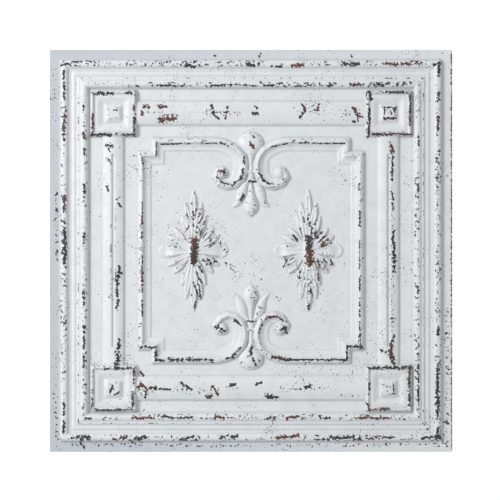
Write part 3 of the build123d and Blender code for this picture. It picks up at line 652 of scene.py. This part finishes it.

# %% [markdown]
# ## A map for the finish
#
# Blender's own unwrap would cut this sheet into hundreds of scraps. But a formed
# sheet is a height over flat ground, so its front can be laid out by looking
# straight down on it, which keeps chips and specks sharp. The back is plain but for
# specks and gets a small square in the far corner, and each side of the cut edge a
# thin strip above the front.

# %% Lay out front and back
FRONT_SHARE = 0.84
BACK_SHARE = 0.13
GAP = 0.006
corner_place = all_points[corner_vertex]
flat_place = (corner_place[:, :2] + half_side) / (2 * half_side)
layout = GAP + flat_place * FRONT_SHARE
back_corners = slice(3 * len(front_faces), edge_start)
layout[back_corners] = 1 - GAP - (1 - flat_place[back_corners]) * BACK_SHARE
print("front takes", round(100 * FRONT_SHARE**2), "% of the map")

# %% Lay out the cut edge
FIRST_STRIP, STRIP_PITCH = 3, 2
strip_place = flat_place[edge_start:].reshape(-1, 3, 2)
lift = corner_place[edge_start:, 2].reshape(-1, 3) / SHEET
across = np.ptp(strip_place, axis=1).argmin(axis=1)
rows = np.arange(len(across))
strip = 2 * across + (strip_place[rows, 0, across] > 0.5)
strips = layout[edge_start:].reshape(-1, 3, 2)
strips[:, :, 0] = GAP + strip_place[rows, :, 1 - across] * FRONT_SHARE
strips[:, :, 1] = FRONT_SHARE + (FIRST_STRIP + STRIP_PITCH * strip[:, None] + lift) * GAP
sheet_map = sheet_mesh.uv_layers.new(name="OFBake")
sheet_map.data.foreach_set("uv", layout.astype(np.float32).ravel())
print("cut edge laid out in", len(np.unique(strip)), "strips")

# %% [markdown]
# ## The paint
#
# A photograph used as texture would fix one set of chips to one view, so the finish
# is worked out from the place on the sheet instead. Three kinds of wear each give a
# score: rubbed crests, struck patches with their showers, and fine specks all over.
# Where the highest score is above zero the white is gone. Cloudy noise goes into
# each score first, so that no chip keeps the straight outline it was given.

# %% Start the material
paint = bpy.data.materials.new("chipped_white_paint")
paint.use_nodes = True
nodes, links = paint.node_tree.nodes, paint.node_tree.links
shader = nodes["Principled BSDF"]
spot_on_sheet = nodes.new("ShaderNodeTexCoord").outputs["Object"]
sheet_mesh.materials.append(paint)
print("material", paint.name, "started")

# %% Clouds that fray and tear an outline
FRAY_GRAIN, TEAR_GRAIN = 1.4 * MM, 3.6 * MM
CLOUD_MIDDLE = 0.5


def fed(socket, value):
    """Link a socket if the value comes from another node, or else set it."""
    if isinstance(value, bpy.types.NodeSocket):
        links.new(value, socket)
    else:
        socket.default_value = value


def reckon(operation, *values):
    """One step of arithmetic."""
    node = nodes.new("ShaderNodeMath")
    node.operation = operation
    for socket, value in zip(node.inputs, values):
        fed(socket, value)
    return node.outputs[0]


def clouds(grain, detail=2, roughness=0.5):
    """Noise round one half, with clouds about as wide as the grain."""
    node = nodes.new("ShaderNodeTexNoise")
    fed(node.inputs["Vector"], spot_on_sheet)
    for name, number in (("Scale", 1 / grain), ("Detail", detail), ("Roughness", roughness)):
        node.inputs[name].default_value = number
    return node.outputs["Fac"]


fray = reckon("SUBTRACT", clouds(FRAY_GRAIN), CLOUD_MIDDLE)
tear = reckon("SUBTRACT", clouds(TEAR_GRAIN), CLOUD_MIDDLE)
print("fray", FRAY_GRAIN / MM, "mm, tear", TEAR_GRAIN / MM, "mm")

# %% [markdown]
# ## Rubbed crests
#
# On the real tile the mouldings' crests have lost their paint in chips of five to
# twenty millimetres, with whole stretches left alone, and more towards the rim than
# in the middle. A mask painted on the crests would be even all along. So one noise
# cuts the chips, a slow one picks the stretches, and how proud the spot stands has
# the last word: on level ground this score never gets above zero.

# %% Score the crests
CREST_GRAIN, CREST_KEPT, CREST_FRAY = 4.6 * MM, 0.92, 0.3
STRETCH_GRAIN, STRETCH_SHARE = 45 * MM, 0.5
RIM_FROM, RIM_TO, RIM_WEAR = 160 * MM, 190 * MM, 0.06
PROUD_SHARE, PROUD_NEEDED = 0.3, 0.14


def kept(name):
    """A number kept on the vertices."""
    node = nodes.new("ShaderNodeAttribute")
    node.attribute_name = name
    return node.outputs["Fac"]


def ramp(value, low, high):
    """0 up to the low value and 1 from the high one."""
    node = nodes.new("ShaderNodeMapRange")
    for name, number in (("Value", value), ("From Min", low), ("From Max", high)):
        fed(node.inputs[name], number)
    return node.outputs[0]


from_centre = nodes.new("ShaderNodeSeparateXYZ")
fed(from_centre.inputs[0], spot_on_sheet)
out_x = reckon("ABSOLUTE", from_centre.outputs["X"])
out_y = reckon("ABSOLUTE", from_centre.outputs["Y"])
out = reckon("MAXIMUM", out_x, out_y)
crest_score = reckon("SUBTRACT", clouds(CREST_GRAIN), CREST_KEPT)
crest_score = reckon("MULTIPLY_ADD", clouds(STRETCH_GRAIN), STRETCH_SHARE, crest_score)
crest_score = reckon("MULTIPLY_ADD", fray, CREST_FRAY, crest_score)
crest_score = reckon("MULTIPLY_ADD", ramp(out, RIM_FROM, RIM_TO), RIM_WEAR, crest_score)
most = reckon("MULTIPLY_ADD", kept("proud"), PROUD_SHARE, -PROUD_NEEDED)
crest_score = reckon("MINIMUM", crest_score, most)
print("crests wear where they stand", round(PROUD_NEEDED / PROUD_SHARE, 2), "proud or more")

# %% [markdown]
# ## Patches, showers and specks
#
# A struck patch is a field of ragged flakes on the real tile, never a clean line. Its
# depth is lowered until its middle is mostly bare and its edge mostly whole, and in
# between noise decides: coarse clouds tear the patch apart and fine ones fray its
# rim. A cap keeps every flake close to its stroke. The specks all over are spatter.
# They are the tallest peaks of a fine noise, and they come in flurries, because a
# spatter brush is not even.

# %% Score the struck patches
STRIKE_SHARE, STRIKE_LOWERED, STRIKE_CAP = 0.5, 0.335, 0.03
STROKE_TEAR, STROKE_FRAY = 1.5, 0.45
strike = kept("struck")
stroke_score = reckon("MULTIPLY_ADD", strike, STRIKE_SHARE, -STRIKE_LOWERED)
stroke_score = reckon("MULTIPLY_ADD", tear, STROKE_TEAR, stroke_score)
stroke_score = reckon("MULTIPLY_ADD", fray, STROKE_FRAY, stroke_score)
most = reckon("MULTIPLY_ADD", strike, STRIKE_SHARE, -STRIKE_CAP)
stroke_score = reckon("MINIMUM", stroke_score, most)
print("stroke noise", STROKE_TEAR, "of tear and", STROKE_FRAY, "of fray")

# %% Score the specks and bare the base
SPECK_GRAIN, SPECK_KEPT = 2.4 * MM, 0.955
FLURRY_GRAIN, FLURRY_SHARE = 70 * MM, 0.45
RIM_OF_CHIP = 0.012
speck_score = reckon("SUBTRACT", clouds(SPECK_GRAIN, roughness=0.4), SPECK_KEPT)
speck_score = reckon("MULTIPLY_ADD", clouds(FLURRY_GRAIN, detail=3), FLURRY_SHARE, speck_score)
score = reckon("MAXIMUM", reckon("MAXIMUM", crest_score, stroke_score), speck_score)
bare = ramp(score, -RIM_OF_CHIP, RIM_OF_CHIP)
print("three kinds of wear in", len(nodes), "nodes")

# %% [markdown]
# ## White, painted shade and border
#
# The white is cool, a little grey where it is thin, and never quite even. The
# hollows are greyed with a painted shade, which is what makes the relief read from
# far off. The flat border is greyed to a bluer tone, most of all on the left, a
# painted shade for how the light falls on it. These could be three materials, but
# then they would meet in hard lines.
# Here each is blended in by a number that we already have.

# %% Mix the white
WHITE = (0.785, 0.80, 0.81, 1)
WHITE_THIN = (0.705, 0.725, 0.74, 1)
THIN_GRAIN, THIN_FROM, THIN_TO = 22 * MM, 0.42, 0.75


def between(share, first, second):
    """A colour between two others."""
    node = nodes.new("ShaderNodeMix")
    node.data_type = "RGBA"
    fed(node.inputs["Factor"], share)
    for name, colour in (("A", first), ("B", second)):
        fed([s for s in node.inputs if s.name == name and s.type == "RGBA"][0], colour)
    return [s for s in node.outputs if s.type == "RGBA"][0]


thin = ramp(clouds(THIN_GRAIN, detail=4, roughness=0.6), THIN_FROM, THIN_TO)
white_paint = between(thin, WHITE, WHITE_THIN)
print("white from", WHITE[:3], "to", WHITE_THIN[:3])

# %% Add painted shade to the hollows and the border
HOLLOW_SHADE_GREY, HOLLOW_SHADE_SHARE = (0.60, 0.60, 0.60, 1), 0.65
BORDER_SHADE_GREY = (0.545, 0.57, 0.61, 1)
BORDER_FROM, BORDER_BLEND = 286 * MM, 2 * MM
# Painted shade: the deeper a spot lies, the more its white is greyed.
painted_shade = reckon("MULTIPLY", kept("hollow"), HOLLOW_SHADE_SHARE)
white_paint = between(painted_shade, white_paint, HOLLOW_SHADE_GREY)
# Painted shade: the flat border is greyed to a bluer tone, most of all on the left.
on_border = ramp(out, BORDER_FROM - BORDER_BLEND, BORDER_FROM + BORDER_BLEND)
shade_to_left = ramp(from_centre.outputs["X"], half_side, -half_side)
white_paint = between(reckon("MULTIPLY", on_border, shade_to_left), white_paint, BORDER_SHADE_GREY)
print("grime in hollows and a grey border from", round(BORDER_FROM / MM), "mm out")

# %% [markdown]
# ## Two base colours under the white
#
# The base is a dark brown that passes for old iron, with rusty red in places. One
# colour for all chips would look printed. Inside a struck patch the stroke says
# which it is, elsewhere a slow cloud does, and fine noise mottles the change.

# %% Mix the base and put the white on it
IRON = (0.030, 0.026, 0.025, 1)
RUST_RED = (0.108, 0.040, 0.031, 1)
IN_STROKE = 0.15
RUST_GRAIN, RUST_FROM, RUST_TO = 30 * MM, 0.52, 0.6
MOTTLE, MOTTLE_FROM, MOTTLE_TO = 0.8, 0.25, 0.75
in_stroke = ramp(strike, 0.0, IN_STROKE)
loose_rust = ramp(clouds(RUST_GRAIN), RUST_FROM, RUST_TO)
loose_rust = reckon("MULTIPLY", loose_rust, reckon("SUBTRACT", 1.0, in_stroke))
rustiness = reckon("MULTIPLY_ADD", kept("rust"), in_stroke, loose_rust)
rustiness = reckon("MULTIPLY_ADD", fray, MOTTLE, rustiness)
base_paint = between(ramp(rustiness, MOTTLE_FROM, MOTTLE_TO), IRON, RUST_RED)
fed(shader.inputs["Base Color"], between(bare, white_paint, base_paint))
shader.inputs["Roughness"].default_value = 0.46
shader.inputs["Specular IOR Level"].default_value = 0.4
print("base from", IRON[:3], "to", RUST_RED[:3])

# %% [markdown]
# ## The film's thickness
#
# A chip is a tenth of a millimetre deep, too shallow to be worth vertices, but it
# does catch light along its rim. A Bump node lowers the bare spots by that much and
# adds the slight orange peel of sprayed paint.

# %% Lower the chips
FILM = 0.12 * MM
PEEL_GRAIN, PEEL_SHARE = 5 * MM, 0.5
peel = reckon("MULTIPLY", clouds(PEEL_GRAIN), PEEL_SHARE)
film = nodes.new("ShaderNodeBump")
film.inputs["Distance"].default_value = FILM
film.inputs["Strength"].default_value = 1.0
fed(film.inputs["Height"], reckon("SUBTRACT", peel, bare))
fed(shader.inputs["Normal"], film.outputs[0])
print("film", FILM / MM, "mm thick")

# %% [markdown]
# ## The floor
#
# The tile lies on white paper. The paper is lit like the tile, so that it takes the
# tile's soft shadow, and what looks straight at it is given a little light more, so
# that it comes out white beyond the shadow. Brighter lamps would do that as well,
# but they would wash out the tile.

# %% Lay the floor
FLOOR_HALF = 3
round_the_square = ((-1, -1), (1, -1), (1, 1), (-1, 1))
floor_corners = [(x * FLOOR_HALF, y * FLOOR_HALF, 0) for x, y in round_the_square]
floor_mesh = bpy.data.meshes.new("floor")
floor_mesh.from_pydata(floor_corners, [], [(0, 1, 2, 3)])
floor = bpy.data.objects.new("floor", floor_mesh)
bpy.context.collection.objects.link(floor)
floor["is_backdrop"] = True
print("floor", 2 * FLOOR_HALF, "m wide")

# %% Make the paper
PAPER = (0.9, 0.9, 0.9, 1)
FLOOR_GLOW = 0.3


def seen_straight(tree):
    """1 for light paths from the camera, from gloss or through glass."""
    path = tree.nodes.new("ShaderNodeLightPath")
    seen = path.outputs["Is Camera Ray"]
    for name in ("Is Glossy Ray", "Is Transmission Ray"):
        either = tree.nodes.new("ShaderNodeMath")
        either.operation = "MAXIMUM"
        tree.links.new(seen, either.inputs[0])
        tree.links.new(path.outputs[name], either.inputs[1])
        seen = either.outputs[0]
    return seen


paper = bpy.data.materials.new("white_paper")
paper.use_nodes = True
tree = paper.node_tree
matte = tree.nodes["Principled BSDF"]
matte.inputs["Base Color"].default_value = PAPER
matte.inputs["Roughness"].default_value = 1.0
matte.inputs["Emission Color"].default_value = (1, 1, 1, 1)
glow = tree.nodes.new("ShaderNodeMath")
glow.operation = "MULTIPLY"
glow.inputs[1].default_value = FLOOR_GLOW
tree.links.new(seen_straight(tree), glow.inputs[0])
tree.links.new(glow.outputs[0], matte.inputs["Emission Strength"])
floor_mesh.materials.append(paper)
print("paper", PAPER[:3], "with a glow of", FLOOR_GLOW)

# %% [markdown]
# ## Light
#
# The photograph is soft: one broad light from the upper left, just strong enough to
# shade the far side of every moulding, and much light from all round. A sun lamp
# would draw hard shadows. A large area lamp and a plain pale sky give soft ones.
# What looks past the floor sees plain white instead of the sky.

# %% Raise the sky
SKY_COLOUR = (0.93, 0.97, 1.0, 1)
SKY_STRENGTH = 0.515
world = bpy.data.worlds.new("sky")
bpy.context.scene.world = world
world.use_nodes = True
tree = world.node_tree
sky = tree.nodes["Background"]
sky.inputs["Color"].default_value = SKY_COLOUR
sky.inputs["Strength"].default_value = SKY_STRENGTH
backdrop = tree.nodes.new("ShaderNodeBackground")
backdrop.inputs["Color"].default_value = (1, 1, 1, 1)
choice = tree.nodes.new("ShaderNodeMixShader")
tree.links.new(seen_straight(tree), choice.inputs[0])
tree.links.new(sky.outputs[0], choice.inputs[1])
tree.links.new(backdrop.outputs[0], choice.inputs[2])
tree.links.new(choice.outputs[0], tree.nodes["World Output"].inputs["Surface"])
print("sky at strength", SKY_STRENGTH)

# %% Hang the window lamp
WINDOW_AT = (-2.2, 0.95, 2.3)
WINDOW_SIZE = 1.1
WINDOW_WATTS = 69
lamp = bpy.data.lights.new("window", "AREA")
lamp.shape = "SQUARE"
lamp.size = WINDOW_SIZE
lamp.energy = WINDOW_WATTS
window_lamp = bpy.data.objects.new("window", lamp)
window_lamp.location = WINDOW_AT
window_lamp.rotation_euler = (-Vector(WINDOW_AT)).to_track_quat("-Z", "Y").to_euler()
bpy.context.collection.objects.link(window_lamp)
print("window lamp", WINDOW_WATTS, "W")

# %% [markdown]
# ## The camera
#
# It looks straight down, as the photograph does. A short lens close by would lean
# the mouldings outwards, so a long one is hung high, which keeps all four sides
# alike. The distance makes one pixel 1.5 mm, and the small shift of the camera puts
# the pattern's centre where the photograph has it.

# %% Set up the camera
PIXELS = 500
LENS = 120
camera_data = bpy.data.cameras.new("camera")
camera = bpy.data.objects.new("camera", camera_data)
bpy.context.collection.objects.link(camera)
bpy.context.scene.camera = camera
camera_data.lens = LENS
distance = PIXELS * PIXEL * camera_data.lens / camera_data.sensor_width
camera.location = (
    (PIXELS / 2 - PATTERN_CENTRE[0]) * PIXEL,
    (PATTERN_CENTRE[1] - PIXELS / 2) * PIXEL,
    distance,
)
bpy.context.scene.view_settings.view_transform = "Standard"
print("camera", round(distance, 2), "m up")

# %% [markdown]
# ## The tops of two boxes
#
# The dressed sheet should fill the imported solid's box and not reach past it. Half a
# millimetre doesn't show in a render, so the top of each box is printed as a number.

# %% Print both tops and finish
visual_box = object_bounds()
solid_top, sheet_top = cad_box[1][2], visual_box[1][2]
print("top of the solid", round(solid_top / MM, 2), "mm, of the sheet", round(sheet_top / MM, 2))
